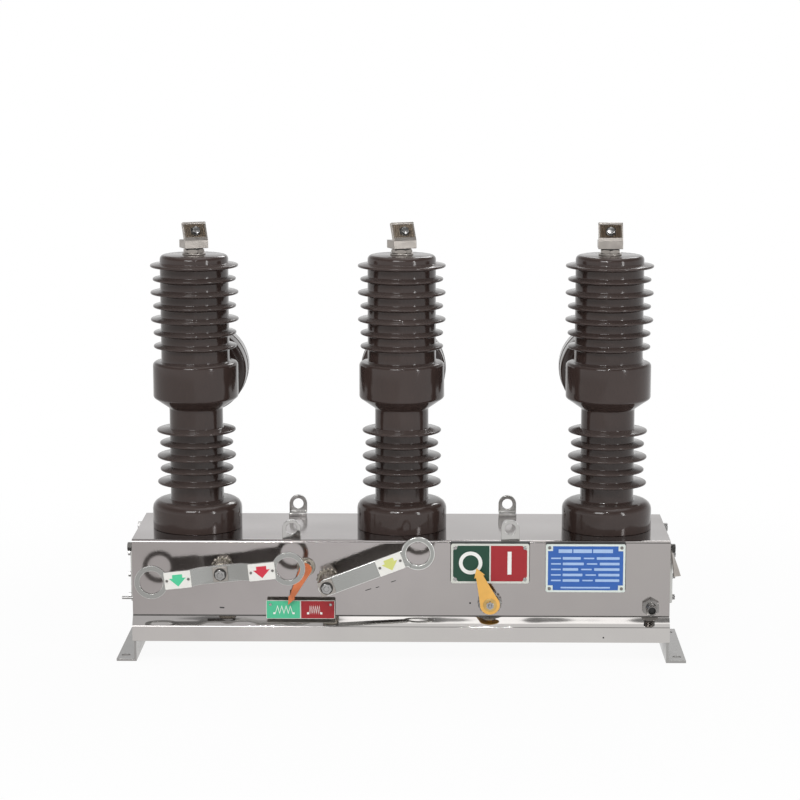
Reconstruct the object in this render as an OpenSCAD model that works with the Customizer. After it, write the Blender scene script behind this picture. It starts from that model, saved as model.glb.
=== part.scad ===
// Pole-mounted circuit breaker: three cast insulating poles on a stainless mechanism housing.
// +X runs along the housing, -Y is the front with the levers, +Z is up.
// The origin is on the ground, at the centre of the four holes in the feet.

/* [Housing] */
// Length of the mechanism housing
housing_w = 876; // [760:1:1060]
// Depth of the housing from front panel to back panel
housing_d = 216; // [190:1:260]
// Height of the front panel, above the base tray
panel_h = 126; // [112:1:150]
// Radius of the folded top edges
housing_fold_r = 5; // [2:0.5:8]

/* [Base tray] */
// How far the tray's lip stands out from the panels
tray_step = 13; // [6:1:20]
// Height of the sloping strip under the panels
tray_slope_h = 15.5; // [8:1:24]
// Height of the tray's upright lip
tray_lip_h = 25.5; // [18:1:40]

/* [Feet] */
// Height of the feet under the tray
foot_h = 38; // [30:1:50]
// Length of a foot along the housing's depth
foot_len = 208; // [170:1:230]
// Width of the flange on the ground
foot_flange_w = 29; // [24:1:45]
// Plate thickness of the feet
foot_t = 4; // [3:0.5:6]
// Radius of a fixing hole
foot_hole_r = 7; // [4.5:0.5:9]
// Distance between the two holes in a foot
foot_hole_pitch = 160; // [130:1:180]
// Distance from the housing's end to the holes' centre line
foot_hole_out = 16; // [12:0.5:20]

/* [Lifting lugs] */
// Distance of the lugs from the housing's middle
lug_x = 178; // [130:1:210]
// Width of a lug
lug_w = 30; // [24:1:40]
// Height of a lug above the housing
lug_h = 33; // [26:1:45]
// Plate thickness of a lug
lug_t = 5; // [3:0.5:8]
// Radius of the lifting hole
lug_hole_r = 8.8; // [6:0.1:11]
// Length of the lug's foot on the housing
lug_foot_len = 24; // [18:1:32]

/* [Poles] */
// Distance between neighbouring poles
pole_pitch = 340; // [290:1:400]
// Radius of the pole's base
base_r = 74; // [66:0.5:88]
// Height of the pole's base
base_h = 47; // [38:1:58]
// Radius of the rounded shoulder on the base
base_shoulder_r = 14; // [6:1:18]
// Radius of the lower core, between the sheds
lower_core_r = 44; // [38:0.5:52]
// Height of the lower core, from the base to the cone
lower_core_h = 150; // [130:1:180]
// Radius of the bulge that the arm leaves from
bulge_r = 70; // [62:0.5:82]
// Height of the bulge
bulge_h = 59; // [52:1:72]
// Height of the cone under the bulge
cone_h = 22; // [14:1:30]
// Radius of the upper core, between the sheds
upper_core_r = 56; // [48:0.5:64]
// Height of the upper core, above the bulge
upper_core_h = 176; // [160:1:210]

/* [Sheds] */
// Radius of the large sheds on the lower core
lower_shed_r = 65; // [58:0.5:72]
// Radius of the small sheds on the lower core
lower_shed_small_r = 60.5; // [54:0.5:66]
// Radius of the large sheds on the upper core
upper_shed_r = 72; // [66:0.5:80]
// Radius of the small sheds on the upper core
upper_shed_small_r = 68; // [62:0.5:76]
// Vertical distance between the lower sheds
lower_shed_pitch = 21.7; // [18:0.1:25]
// Vertical distance between the upper sheds
upper_shed_pitch = 22.1; // [18:0.1:24]
// Thickness of a shed at its rim
shed_rim_t = 3.5; // [2:0.1:5]
// Thickness of a shed at its root
shed_root_t = 8; // [6:0.1:11]
// Height of the lowest shed above the pole's base
first_shed_up = 30; // [26:0.5:34]
// Depth of the highest shed below the pole's top
first_shed_down = 17.6; // [14:0.1:20]

/* [Rear arms] */
// Height of the arm's axis above the housing
arm_z = 240; // [230:1:258]
// Radius of the arm between the pole and the transformer
arm_neck_r = 47; // [38:0.5:56]
// Distance from the pole's axis to the transformer
transformer_y = 140; // [120:1:170]
// Radius of the current transformer
transformer_r = 72; // [62:0.5:84]
// Length of the current transformer
transformer_len = 95; // [76:1:120]
// Radius of the arm's outer bushing
bushing_r = 38; // [30:0.5:46]
// Length of the arm's outer bushing
bushing_len = 105; // [90:1:130]
// Radius of the large sheds on the bushing
bushing_shed_r = 58; // [50:0.5:68]
// Radius of the small shed on the bushing
bushing_shed_small_r = 53; // [46:0.5:62]
// Distance between the sheds on the bushing
bushing_shed_pitch = 22; // [18:0.5:26]

/* [Terminals] */
// Radius of the terminal stud
stud_r = 8; // [6:0.5:10]
// Distance over the flats of the stud's nut
nut_flats = 30; // [24:1:36]
// Height of the stud's nut
nut_h = 8; // [6:0.5:11]
// Radius of the washer under the nut
collar_r = 19; // [16:0.5:24]
// Thickness of the washer under the nut
collar_t = 3; // [2:0.5:5]
// Width of the terminal block
block_w = 40; // [34:1:48]
// Depth of the terminal block
block_d = 30; // [28:1:38]
// Height of the terminal block
block_h = 13; // [10:0.5:17]
// Length of the serrated jaw plate
jaw_h = 32; // [28:1:40]
// Thickness of the serrated jaw plate
jaw_t = 6; // [4:0.5:8]
// Lean of the jaw plate from upright
jaw_lean = 24; // [10:1:30]
// Turn of the outer left and centre terminals about the stud
terminal_turn = 24; // [-40:1:40]
// Radius of the jaw bolt's hole
jaw_hole_r = 5; // [3:0.1:6]

/* [Levers] */
// Thickness of the lever plates
lever_t = 6; // [4:0.5:9]
// Distance from the front panel to the back of the levers
lever_gap = 52; // [44:1:64]
// Width of the lever bars
lever_bar_w = 28; // [22:0.5:34]
// How far the middle of the open-close lever is set back towards the panel
joggle = 12; // [0:0.5:16]
// Half length of the set-back middle
joggle_half = 34; // [26:0.5:40]
// Length of the slanting stretch on either side of it
joggle_run = 18; // [12:0.5:24]
// Outer radius of the pull rings
ring_r = 27; // [24:0.5:32]
// Inner radius of the pull rings
ring_hole_r = 19; // [14:0.5:22]
// Height of the open-close lever's axis above the ground
rocker_z = 159; // [150:1:170]
// Distance of the open-close lever's axis from the housing's middle
rocker_x = -290; // [-300:1:-275]
// Length of each arm of the open-close lever, to the ring's centre
rocker_arm = 111; // [95:1:125]
// Tilt of the open-close lever at rest
rocker_tilt = 6; // [0:1:10]
// Height of the charging lever's axis above the ground
charger_z = 140; // [134:1:146]
// Distance of the charging lever's axis from the housing's middle
charger_x = -118; // [-124:1:-100]
// Length of the charging lever, to the ring's centre
charger_arm = 157; // [140:1:175]
// Tilt of the charging lever at rest
charger_tilt = 21; // [10:1:30]
// Radius of the lever shafts
shaft_r = 9; // [7:0.5:11]
// Radius of the bosses that carry the lever shafts
boss_r = 14; // [12.5:0.5:18]
// Radius of the flanges that hold the bosses on the panel
flange_r = 19; // [18:0.5:22]
// Thickness of those flanges
flange_t = 4; // [2:0.5:6]
// Side of the square washer under a lever's bolt head
washer_w = 24; // [20:0.5:26]
// Thickness of that washer
washer_t = 3; // [2:0.5:4]
// Distance over the flats of a lever's bolt head
bolt_flats = 17; // [13:1:19]
// Height of a lever's bolt head
bolt_h = 7; // [5:0.5:9]
// Radius of the bolt through a lever
lever_bolt_r = 5.5; // [4:0.5:6.5]

/* [Indicators] */
// Width and height of the position plate
position_w = 127; // [110:1:140]
position_h = 66; // [56:1:72]
// Distance of the position plate's middle from the housing's middle
position_x = 145; // [120:1:160]
// Height of the position plate's middle above the ground
position_z = 169; // [160:1:176]
// Depth of the position pointer's axis below the plate's middle
position_drop = 66; // [60:1:72]
// Length of the position pointer, from its axis to its tip
position_pointer_len = 65; // [55:1:75]
// Angle from the plate's middle to either symbol
position_swing = 20; // [12:1:25]
// Width and height of the charge plate
charge_w = 112; // [96:1:120]
charge_h = 31; // [26:1:36]
// Distance of the charge pointer's axis from the housing's middle
charge_x = -154; // [-162:1:-148]
// Height of the charge pointer's axis above the ground
charge_z = 161; // [154:1:168]
// Length of the charge pointer, from its axis to its tip
charge_pointer_len = 66; // [58:1:72]
// Angle of the charge pointer at rest, to the side of straight down
charge_swing = 26; // [18:1:32]
// Radius of the pointers' shafts
pin_r = 4; // [3:0.5:6]
// Distance from the front panel to the back of the pointers
pointer_gap = 19; // [19:0.5:26]
// Thickness of the pointers
pointer_t = 2; // [1.5:0.5:3]
// Thickness of the plates
plate_t = 2; // [1.5:0.5:3]
// Distance from the front panel to the back of the position plate
position_gap = 6; // [3:0.5:9]
// Distance from the front panel to the back of the charge plate
charge_gap = 11; // [6:0.5:11]
// Distance from the front panel to the back of the rating plate
rating_gap = 3; // [1:0.5:8]

/* [Fittings] */
// Width and height of the rating plate
rating_w = 129; // [110:1:140]
rating_h = 80; // [66:1:92]
// Distance of the rating plate's middle from the housing's middle
rating_x = 300; // [285:1:320]
// Height of the rating plate's middle above the ground
rating_z = 161; // [150:1:162]
// Outer radius of the drain nipple
nipple_r = 9; // [7:0.5:12]
// Bore radius of the drain nipple
nipple_bore_r = 6; // [3:0.5:6.5]
// Length of the drain nipple
nipple_len = 29; // [20:1:36]
// Distance over the flats of the drain nipple's hexagon
nipple_flats = 26; // [20:1:30]
// Distance from the drain nipple to the housing's end
nipple_in = 31; // [22:1:60]
// Height of the drain nipple above the base tray
nipple_up = 17; // [16:1:30]
// Width of the covers on the housing's ends
end_cover_w = 150; // [120:1:160]
// Height of the covers on the housing's ends
end_cover_h = 88; // [70:1:94]
// Thickness of the covers on the housing's ends
end_cover_t = 9; // [5:1:14]
// Radius of the manual trip rod
trip_rod_r = 2.5; // [2:0.1:4]
// Length of the manual trip rod
trip_rod_len = 21; // [14:1:26]
// Length of the strap's bent part
strap_len = 42; // [30:1:60]
// Width of the strap
strap_w = 18; // [16:1:24]
// Thickness of the strap
strap_t = 2; // [1:0.5:4]
// Angle of the bent part from the housing's end
strap_bend = 18; // [5:1:30]

/* [Hidden] */
$fn = 64;

// Levels above the ground
tray_z = foot_h;
slope_z = tray_z + tray_lip_h;
panel_z = slope_z + tray_slope_h;
top_z = panel_z + panel_h;
// Levels on a pole, above the housing
cone_z = base_h + lower_core_h;
bulge_z = cone_z + cone_h;
upper_z = bulge_z + bulge_h;
pole_h = upper_z + upper_core_h;
// Front of the front panel
front_y = -housing_d / 2;
// Running clearance of a shaft in its bore, and the depth of the bores in the housing
shaft_gap = 0.1;
bore_depth = 12;
// Shoulder behind a lever, and its distance from the boss
shoulder_len = 6;
boss_gap = 2;
// Wall of the pointers' bosses, and the distance from boss to pointer
pin_boss_wall = 6;
pin_flange = 5;
pointer_clearance = 5;
// Inset of the plates' spacers from the plate's edges, and their radius
plate_inset = 7;
spacer_r = 4;
// Colours
STEEL = [0.66, 0.65, 0.63];
EPOXY = [0.28, 0.25, 0.24];
TIN = [0.74, 0.72, 0.69];

// Places children on the front panel: their +Z points out of the panel
module on_front(x, z, out = 0)
    translate([x, front_y - out, z]) rotate([90, 0, 0]) children();

// Extrudes a drawing of the housing's cross-section (x = depth, y = height) along the housing
module along_housing(length)
    translate([-length / 2, 0, 0]) rotate([90, 0, 90]) linear_extrude(length) children();

// Points of a quarter circle in a profile, from angle a0 to a1
function arc(cx, cy, r, a0, a1, n = 6) =
    [for (i = [0:n]) let (a = a0 + (a1 - a0) * i / n) [cx + r * cos(a), cy + r * sin(a)]];

// Profile points of one shed: root below, rounded rim, root above
function shed(core_r, r, z) = [
    [core_r, z - shed_root_t / 2],
    [r - shed_rim_t / 2, z - shed_rim_t / 2],
    [r, z - shed_rim_t / 5],
    [r, z + shed_rim_t / 5],
    [r - shed_rim_t / 2, z + shed_rim_t / 2],
    [core_r, z + shed_root_t / 2]];

// ---- housing, tray, feet ----
module housing() color(STEEL) difference() {
    along_housing(housing_w) {
        translate([-housing_d / 2, panel_z]) square([housing_d, panel_h - housing_fold_r]);
        translate([-housing_d / 2 + housing_fold_r, panel_z])
            square([housing_d - 2 * housing_fold_r, panel_h]);
        for (s = [-1, 1])
            translate([s * (housing_d / 2 - housing_fold_r), top_z - housing_fold_r])
                circle(housing_fold_r);
    }
    for (p = [[rocker_x, rocker_z], [charger_x, charger_z]])
        on_front(p[0], p[1], -bore_depth) cylinder(r = shaft_r + shaft_gap, h = bore_depth + 1);
    for (p = [[position_x, position_z - position_drop], [charge_x, charge_z]])
        on_front(p[0], p[1], -bore_depth) cylinder(r = pin_r + shaft_gap, h = bore_depth + 1);
}

module base_tray() color(STEEL) along_housing(housing_w)
    polygon([[-housing_d / 2, panel_z], [-housing_d / 2 - tray_step, slope_z],
        [-housing_d / 2 - tray_step, tray_z], [housing_d / 2 + tray_step, tray_z],
        [housing_d / 2 + tray_step, slope_z], [housing_d / 2, panel_z]]);

// Folded foot under one end: flange on the ground, web, and flange under the tray
module foot(s) color(STEEL) mirror([s < 0 ? 1 : 0, 0, 0]) translate([housing_w / 2, 0, 0])
    difference() {
        union() {
            translate([-foot_t, -foot_len / 2, 0]) cube([foot_flange_w + foot_t, foot_len, foot_t]);
            translate([-foot_t, -foot_len / 2, 0]) cube([foot_t, foot_len, foot_h]);
            translate([-foot_flange_w, -foot_len / 2, foot_h - foot_t])
                cube([foot_flange_w, foot_len, foot_t]);
        }
        for (y = [-1, 1])
            translate([foot_hole_out, y * foot_hole_pitch / 2, -1])
                cylinder(r = foot_hole_r, h = foot_t + 2);
    }
module left_foot() foot(-1);
module right_foot() foot(1);

// Lifting lug: round-topped eye plate with a foot that points towards the middle of the top
module lug(sx, sy) color(STEEL)
    translate([sx * lug_x, sy * (housing_d / 2 - housing_fold_r), top_z])
        mirror([0, sy < 0 ? 1 : 0, 0]) difference() {
            union() {
                translate([-lug_w / 2, -lug_t, 0]) cube([lug_w, lug_t, lug_h - lug_w / 2]);
                translate([0, 0, lug_h - lug_w / 2]) rotate([90, 0, 0])
                    cylinder(r = lug_w / 2, h = lug_t);
                translate([-lug_w / 2, -lug_foot_len, 0]) cube([lug_w, lug_foot_len, lug_t]);
            }
            translate([0, 1, lug_h - lug_w / 2]) rotate([90, 0, 0])
                cylinder(r = lug_hole_r, h = lug_t + 2);
        }
module lug_front_left() lug(-1, -1);
module lug_front_right() lug(1, -1);
module lug_rear_left() lug(-1, 1);
module lug_rear_right() lug(1, 1);

// ---- poles and rear arms ----
lower_shed_z0 = base_h + first_shed_up;
upper_shed_z0 = pole_h - first_shed_down;
// Radii of the small roundings on the poles, transformers and bushings
cap_round = 6;
edge_round = 5;
drum_round = 16;
module pole_casting() {
    rotate_extrude($fn = 96) polygon(concat(
        [[0, 0], [base_r, 0]],
        arc(base_r - base_shoulder_r, base_h - base_shoulder_r, base_shoulder_r, 0, 90),
        [[lower_core_r, base_h]],
        [for (i = [0:4]) each shed(lower_core_r,
            i % 2 == 0 ? lower_shed_r : lower_shed_small_r, lower_shed_z0 + i * lower_shed_pitch)],
        [[lower_core_r, cone_z], [bulge_r - 2, bulge_z - 1], [bulge_r, bulge_z + 2]],
        arc(bulge_r - edge_round, upper_z - edge_round, edge_round, 0, 90, 3),
        [for (i = [6:-1:0]) each shed(upper_core_r,
            i % 2 == 0 && i < 6 ? upper_shed_r : upper_shed_small_r,
            upper_shed_z0 - i * upper_shed_pitch)],
        arc(upper_core_r - cap_round, pole_h - cap_round, cap_round, 0, 90, 3),
        [[0, pole_h]]));
    translate([0, 0, arm_z]) rotate([-90, 0, 0]) cylinder(r = arm_neck_r, h = transformer_y);
}
module at_pole(i) translate([(i - 1) * pole_pitch, 0, top_z]) children();
module pole(i) color(EPOXY) at_pole(i) pole_casting();
module pole_left() pole(0);
module pole_centre() pole(1);
module pole_right() pole(2);

// Places children on the arm's axis: their +Z runs back along the arm
module on_arm(i, y) at_pole(i) translate([0, y, arm_z]) rotate([-90, 0, 0]) children();
module transformer(i) color(EPOXY) on_arm(i, transformer_y)
    rotate_extrude($fn = 96) polygon(concat(
        [[0, 0]],
        arc(transformer_r - edge_round, edge_round, edge_round, -90, 0, 3),
        arc(transformer_r - drum_round, transformer_len - drum_round, drum_round, 0, 90, 5),
        [[0, transformer_len]]));
module transformer_left() transformer(0);
module transformer_centre() transformer(1);
module transformer_right() transformer(2);

bushing_y = transformer_y + transformer_len;
// Flange at the bushing's root: how far it stands out, and its length
bushing_flange = 8;
bushing_flange_len = 6;
first_bushing_shed = 30;
module bushing(i) color(EPOXY) on_arm(i, bushing_y)
    rotate_extrude($fn = 96) polygon(concat(
        [[0, 0], [bushing_r + bushing_flange, 0], [bushing_r + bushing_flange, bushing_flange_len],
            [bushing_r, bushing_flange_len + bushing_flange]],
        [for (k = [0:2]) each shed(bushing_r, k == 1 ? bushing_shed_small_r : bushing_shed_r,
            first_bushing_shed + k * bushing_shed_pitch)],
        arc(bushing_r - edge_round, bushing_len - edge_round, edge_round, 0, 90, 3),
        [[0, bushing_len]]));
module bushing_left() bushing(0);
module bushing_centre() bushing(1);
module bushing_right() bushing(2);

// ---- terminals ----
// Terminal stud with its washer and hexagon nut; the block sits on the nut
stud_len = collar_t + nut_h + block_h - 2;
module stud() {
    cylinder(r = stud_r, h = stud_len);
    cylinder(r = collar_r, h = collar_t);
    translate([0, 0, collar_t]) cylinder(d = nut_flats / cos(30), h = nut_h, $fn = 6);
}
// Terminal block bored for the stud, with one serrated jaw plate leaning back from its front edge
module clamp() translate([0, 0, collar_t + nut_h]) difference() {
    translate([-block_w / 2, 0, 0]) rotate([90, 0, 90]) linear_extrude(block_w)
        polygon([[-block_d / 2, 0], [block_d / 2, 0], [block_d / 2, block_h],
            [-block_d / 2 + jaw_t / cos(jaw_lean), block_h],
            [-block_d / 2 + jaw_h * sin(jaw_lean) + jaw_t * cos(jaw_lean),
                block_h + jaw_h * cos(jaw_lean) - jaw_t * sin(jaw_lean)],
            [-block_d / 2 + jaw_h * sin(jaw_lean), block_h + jaw_h * cos(jaw_lean)],
            [-block_d / 2, block_h]]);
    translate([0, 0, -1]) cylinder(r = stud_r + shaft_gap, h = block_h);
    translate([0, -block_d / 2, block_h]) rotate([-jaw_lean, 0, 0]) translate([0, -1, jaw_h / 2])
        rotate([-90, 0, 0]) cylinder(r = jaw_hole_r, h = jaw_t + 2);
}
TURNS = [terminal_turn, terminal_turn, 0];
module top_stud(i) color(TIN) at_pole(i) translate([0, 0, pole_h]) stud();
module top_stud_left() top_stud(0);
module top_stud_centre() top_stud(1);
module top_stud_right() top_stud(2);
module top_clamp(i) color(TIN) at_pole(i) translate([0, 0, pole_h]) rotate([0, 0, TURNS[i]]) clamp();
module top_clamp_left() top_clamp(0);
module top_clamp_centre() top_clamp(1);
module top_clamp_right() top_clamp(2);
module rear_stud(i) color(TIN) on_arm(i, bushing_y + bushing_len) stud();
module rear_stud_left() rear_stud(0);
module rear_stud_centre() rear_stud(1);
module rear_stud_right() rear_stud(2);
module rear_clamp(i) color(TIN) on_arm(i, bushing_y + bushing_len) clamp();
module rear_clamp_left() rear_clamp(0);
module rear_clamp_centre() rear_clamp(1);
module rear_clamp_right() rear_clamp(2);

// ---- levers ----
// Bosses on the panel that carry the four shafts
module boss(x, z, r, bore_r, h, round_r) on_front(x, z) difference() {
    union() {
        cylinder(r = round_r, h = flange_t);
        cylinder(r = r, h = h);
    }
    translate([0, 0, -1]) cylinder(r = bore_r, h = h + 2);
}
// Distance from the panel to the back of each lever at its hub
rocker_gap = lever_gap - joggle;
charger_gap = lever_gap;
module shaft_bosses() color(STEEL) {
    for (p = [[rocker_x, rocker_z, rocker_gap], [charger_x, charger_z, charger_gap]])
        boss(p[0], p[1], boss_r, shaft_r + shaft_gap, p[2] - shoulder_len - boss_gap, flange_r);
    for (p = [[position_x, position_z - position_drop], [charge_x, charge_z]])
        boss(p[0], p[1], pin_r + pin_boss_wall, pin_r + shaft_gap, pointer_gap - pointer_clearance,
            pin_r + pin_boss_wall + pin_flange);
}

// Shaft from the panel's bore to the lever, with the lever's square washer and bolt head
module lever_shaft(x, z, tilt, gap) on_front(x, z, -bore_depth + 1) rotate(tilt) {
    hub = bore_depth - 1 + gap;
    cylinder(r = shaft_r, h = hub);
    translate([0, 0, hub - shoulder_len]) cylinder(r = boss_r - 1, h = shoulder_len);
    cylinder(r = lever_bolt_r, h = hub + lever_t + washer_t);
    translate([0, 0, hub + lever_t]) {
        translate([-washer_w / 2, -washer_w / 2, 0]) cube([washer_w, washer_w, washer_t]);
        translate([0, 0, washer_t]) cylinder(d = bolt_flats / cos(30), h = bolt_h, $fn = 6);
    }
}
module open_close_shaft() color(TIN) lever_shaft(rocker_x, rocker_z, rocker_tilt, rocker_gap);
module charging_shaft() color(TIN) lever_shaft(charger_x, charger_z, charger_tilt, charger_gap);

// Pull ring centred x along the lever, and the hole that the bar leaves for it
module pull_ring(x) difference() {
    translate([x, 0, 0]) cylinder(r = ring_r, h = lever_t);
    translate([x, 0, -1]) cylinder(r = ring_hole_r, h = lever_t + 2);
}
module ring_seat(x) translate([x, 0, -1]) cylinder(r = (ring_r + ring_hole_r) / 2, h = lever_t + 2);
module bolt_hole() translate([0, 0, -joggle - 1])
    cylinder(r = lever_bolt_r + shaft_gap, h = joggle + lever_t + 2);

// Edge view of the open-close lever's bar: its middle is set back by the joggle
module joggled_bar() {
    bend = joggle_half + joggle_run;
    polygon([[-rocker_arm, 0], [-bend, 0], [-joggle_half, -joggle], [joggle_half, -joggle], [bend, 0],
        [rocker_arm, 0], [rocker_arm, lever_t], [bend, lever_t], [joggle_half, lever_t - joggle],
        [-joggle_half, lever_t - joggle], [-bend, lever_t], [-rocker_arm, lever_t]]);
}
module open_close_lever() color(STEEL) on_front(rocker_x, rocker_z, lever_gap) rotate(rocker_tilt) {
    difference() {
        rotate([90, 0, 0]) linear_extrude(lever_bar_w, center = true) joggled_bar();
        ring_seat(-rocker_arm);
        ring_seat(rocker_arm);
        bolt_hole();
    }
    pull_ring(-rocker_arm);
    pull_ring(rocker_arm);
}
module charging_lever() color(STEEL) on_front(charger_x, charger_z, lever_gap) rotate(charger_tilt) {
    difference() {
        union() {
            translate([0, -lever_bar_w / 2, 0]) cube([charger_arm, lever_bar_w, lever_t]);
            cylinder(r = lever_bar_w / 2, h = lever_t);
        }
        ring_seat(charger_arm);
        bolt_hole();
    }
    pull_ring(charger_arm);
}

// ---- indicators ----
// Plate held off the panel by four short spacers
module standoff_plate(x, z, w, h, out, spacer_zs) {
    on_front(x, z, out) translate([-w / 2, -h / 2, 0]) cube([w, h, plate_t]);
    for (sx = [-1, 1], sz = spacer_zs)
        on_front(x + sx * (w / 2 - plate_inset), z + sz) cylinder(r = spacer_r, h = out);
}
module position_plate() color([0.85, 0.85, 0.82])
    standoff_plate(position_x, position_z, position_w, position_h, position_gap,
        [-position_h / 2 + plate_inset, position_h / 2 - plate_inset]);
// The charge plate's top edge lies a little above the pointer's tip, and its middle left of the axis
charge_overlap = 6;
charge_plate_left = 9;
charge_plate_z = charge_z - charge_pointer_len * cos(charge_swing) + charge_overlap - charge_h / 2;
module charge_plate() color([0.7, 0.2, 0.25])
    standoff_plate(charge_x - charge_plate_left, charge_plate_z, charge_w, charge_h, charge_gap,
        [charge_h / 2 - plate_inset]);
module rating_plate() color([0.25, 0.4, 0.7])
    standoff_plate(rating_x, rating_z, rating_w, rating_h, rating_gap,
        [-rating_h / 2 + plate_inset, rating_h / 2 - plate_inset]);

// Pointer lying in the plane in front of its plate, drawn pointing up. Its blade narrows from
// the round hub to the neck w wide, and its head is half as wide again.
head_len = 15;
pin_nut_flats = 11;
pin_nut_h = 5;
module pointer(x, z, turn, len, hub_r, w) on_front(x, z, pointer_gap) {
    rotate(turn) linear_extrude(pointer_t) {
        circle(hub_r);
        polygon([[-hub_r, 0], [hub_r, 0], [w / 2, len - head_len], [w * 0.75, len - head_len],
            [0, len], [-w * 0.75, len - head_len], [-w / 2, len - head_len]]);
    }
    translate([0, 0, -pointer_gap - bore_depth + 1]) cylinder(r = pin_r, h = pointer_gap + bore_depth);
    cylinder(d = pin_nut_flats / cos(30), h = pointer_t + pin_nut_h, $fn = 6);
}
// Radius of each pointer's round hub, and width of its blade
position_hub_r = 16;
position_blade_w = 12;
charge_hub_r = 10;
charge_blade_w = 8;
module position_pointer() color([0.9, 0.7, 0.33])
    pointer(position_x, position_z - position_drop, position_swing, position_pointer_len,
        position_hub_r, position_blade_w);
module charge_pointer() color([0.8, 0.48, 0.32])
    pointer(charge_x, charge_z, 180 - charge_swing, charge_pointer_len,
        charge_hub_r, charge_blade_w);

// ---- fittings ----
nipple_hex_h = 9;
nipple_floor = 4;
module drain_nipple() color(STEEL)
    on_front(housing_w / 2 - nipple_in, panel_z + nipple_up) difference() {
        union() {
            cylinder(d = nipple_flats / cos(30), h = nipple_hex_h, $fn = 6);
            cylinder(r = nipple_r, h = nipple_len);
        }
        translate([0, 0, nipple_floor]) cylinder(r = nipple_bore_r, h = nipple_len);
    }

// Places children on one end of the housing: their +Z points outwards
module on_end(s, y, z) translate([s * housing_w / 2, y, z]) rotate([0, s * 90, 0]) children();
end_cover_up = 10;
end_cover_back = 20;
module end_cover(s) color(STEEL) on_end(s, end_cover_back, panel_z + end_cover_up + end_cover_h / 2)
    translate([-end_cover_h / 2, -end_cover_w / 2, 0]) cube([end_cover_h, end_cover_w, end_cover_t]);
module left_end_cover() end_cover(-1);
module right_end_cover() end_cover(1);

// Fittings near the front edge of each end, and their distance below the top or above the tray
end_fitting_in = 29;
trip_rod_up = 22;
trip_collar_r = 6;
trip_collar_t = 3;
module trip_rod() color(TIN) on_end(-1, front_y + end_fitting_in, panel_z + trip_rod_up) {
    cylinder(r = trip_rod_r, h = trip_rod_len);
    cylinder(r = trip_collar_r, h = trip_collar_t);
}
// Bent strap under the earth bolt: a square tab on the housing, then the part bent outwards
strap_down = 18;
earth_bolt_flats = 13;
earth_bolt_h = 8;
module earth_strap() color(TIN) on_end(1, front_y + end_fitting_in, top_z - strap_down) {
    translate([-strap_w / 2, -strap_w / 2, 0]) cube([strap_w, strap_w, strap_t]);
    translate([strap_w / 2, 0, 0]) rotate([90, 0, 0]) linear_extrude(strap_w, center = true)
        polygon([[0, 0], [0, strap_t], [strap_len * cos(strap_bend), strap_len * sin(strap_bend) + strap_t],
            [strap_len * cos(strap_bend) + strap_t * tan(strap_bend), strap_len * sin(strap_bend)]]);
    cylinder(d = earth_bolt_flats / cos(30), h = earth_bolt_h, $fn = 6);
}

housing();
base_tray();
left_foot();
right_foot();
lug_front_left();
lug_front_right();
lug_rear_left();
lug_rear_right();
pole_left();
pole_centre();
pole_right();
transformer_left();
transformer_centre();
transformer_right();
bushing_left();
bushing_centre();
bushing_right();
top_stud_left();
top_stud_centre();
top_stud_right();
top_clamp_left();
top_clamp_centre();
top_clamp_right();
rear_stud_left();
rear_stud_centre();
rear_stud_right();
rear_clamp_left();
rear_clamp_centre();
rear_clamp_right();
shaft_bosses();
open_close_lever();
open_close_shaft();
charging_lever();
charging_shaft();
position_plate();
position_pointer();
charge_plate();
charge_pointer();
rating_plate();
drain_nipple();
left_end_cover();
right_end_cover();
trip_rod();
earth_strap();
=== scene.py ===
"""Looks of a pole-mounted circuit breaker: three cast resin poles on a polished stainless housing.
Metres, +Z up, +X along the housing, the levers on the -Y side, the origin on the ground."""
from math import cos, pi, radians, sin, tan

import bmesh
import bpy
import numpy as np
from mathutils import Matrix, Vector


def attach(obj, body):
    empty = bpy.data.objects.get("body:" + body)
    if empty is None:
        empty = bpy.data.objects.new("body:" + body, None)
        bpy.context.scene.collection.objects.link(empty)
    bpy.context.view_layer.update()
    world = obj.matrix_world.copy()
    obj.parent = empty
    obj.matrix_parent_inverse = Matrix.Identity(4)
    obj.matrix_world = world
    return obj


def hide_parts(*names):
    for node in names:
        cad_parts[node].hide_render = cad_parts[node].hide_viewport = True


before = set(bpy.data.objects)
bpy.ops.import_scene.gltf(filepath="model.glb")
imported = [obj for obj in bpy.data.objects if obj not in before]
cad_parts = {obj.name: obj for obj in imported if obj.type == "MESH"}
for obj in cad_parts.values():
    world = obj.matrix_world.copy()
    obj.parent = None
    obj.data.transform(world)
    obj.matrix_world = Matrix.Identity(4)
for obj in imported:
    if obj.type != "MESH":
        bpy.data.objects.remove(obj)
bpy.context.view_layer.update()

# ---- Camera ----
# A long lens at chest height, four metres in front of the breaker, looking a little down.
camera_place = (0.0654, -4.0917, 1.0959)
camera_down, camera_turn = 10.318, 0.843
camera_shift = (-0.0062, 0.0503)
camera = bpy.data.objects.new("camera", bpy.data.cameras.new("camera"))
camera.data.lens = 113.06
camera.data.sensor_width = 36
camera.data.shift_x, camera.data.shift_y = camera_shift
camera.location = camera_place
camera.rotation_euler = (radians(90 - camera_down), 0, radians(camera_turn))
bpy.context.scene.collection.objects.link(camera)
bpy.context.scene.camera = camera
bpy.context.scene.view_settings.view_transform = "Standard"

# ---- Studio ----
# A white floor that fades into a white room, a wide lamp in front and above, a tall softbox on
# the right, two small lamps whose glints run down the glossy poles, and a lamp behind. The steel
# mirrors the room's walls and, overhead, a skylight crossed by beams.


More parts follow.
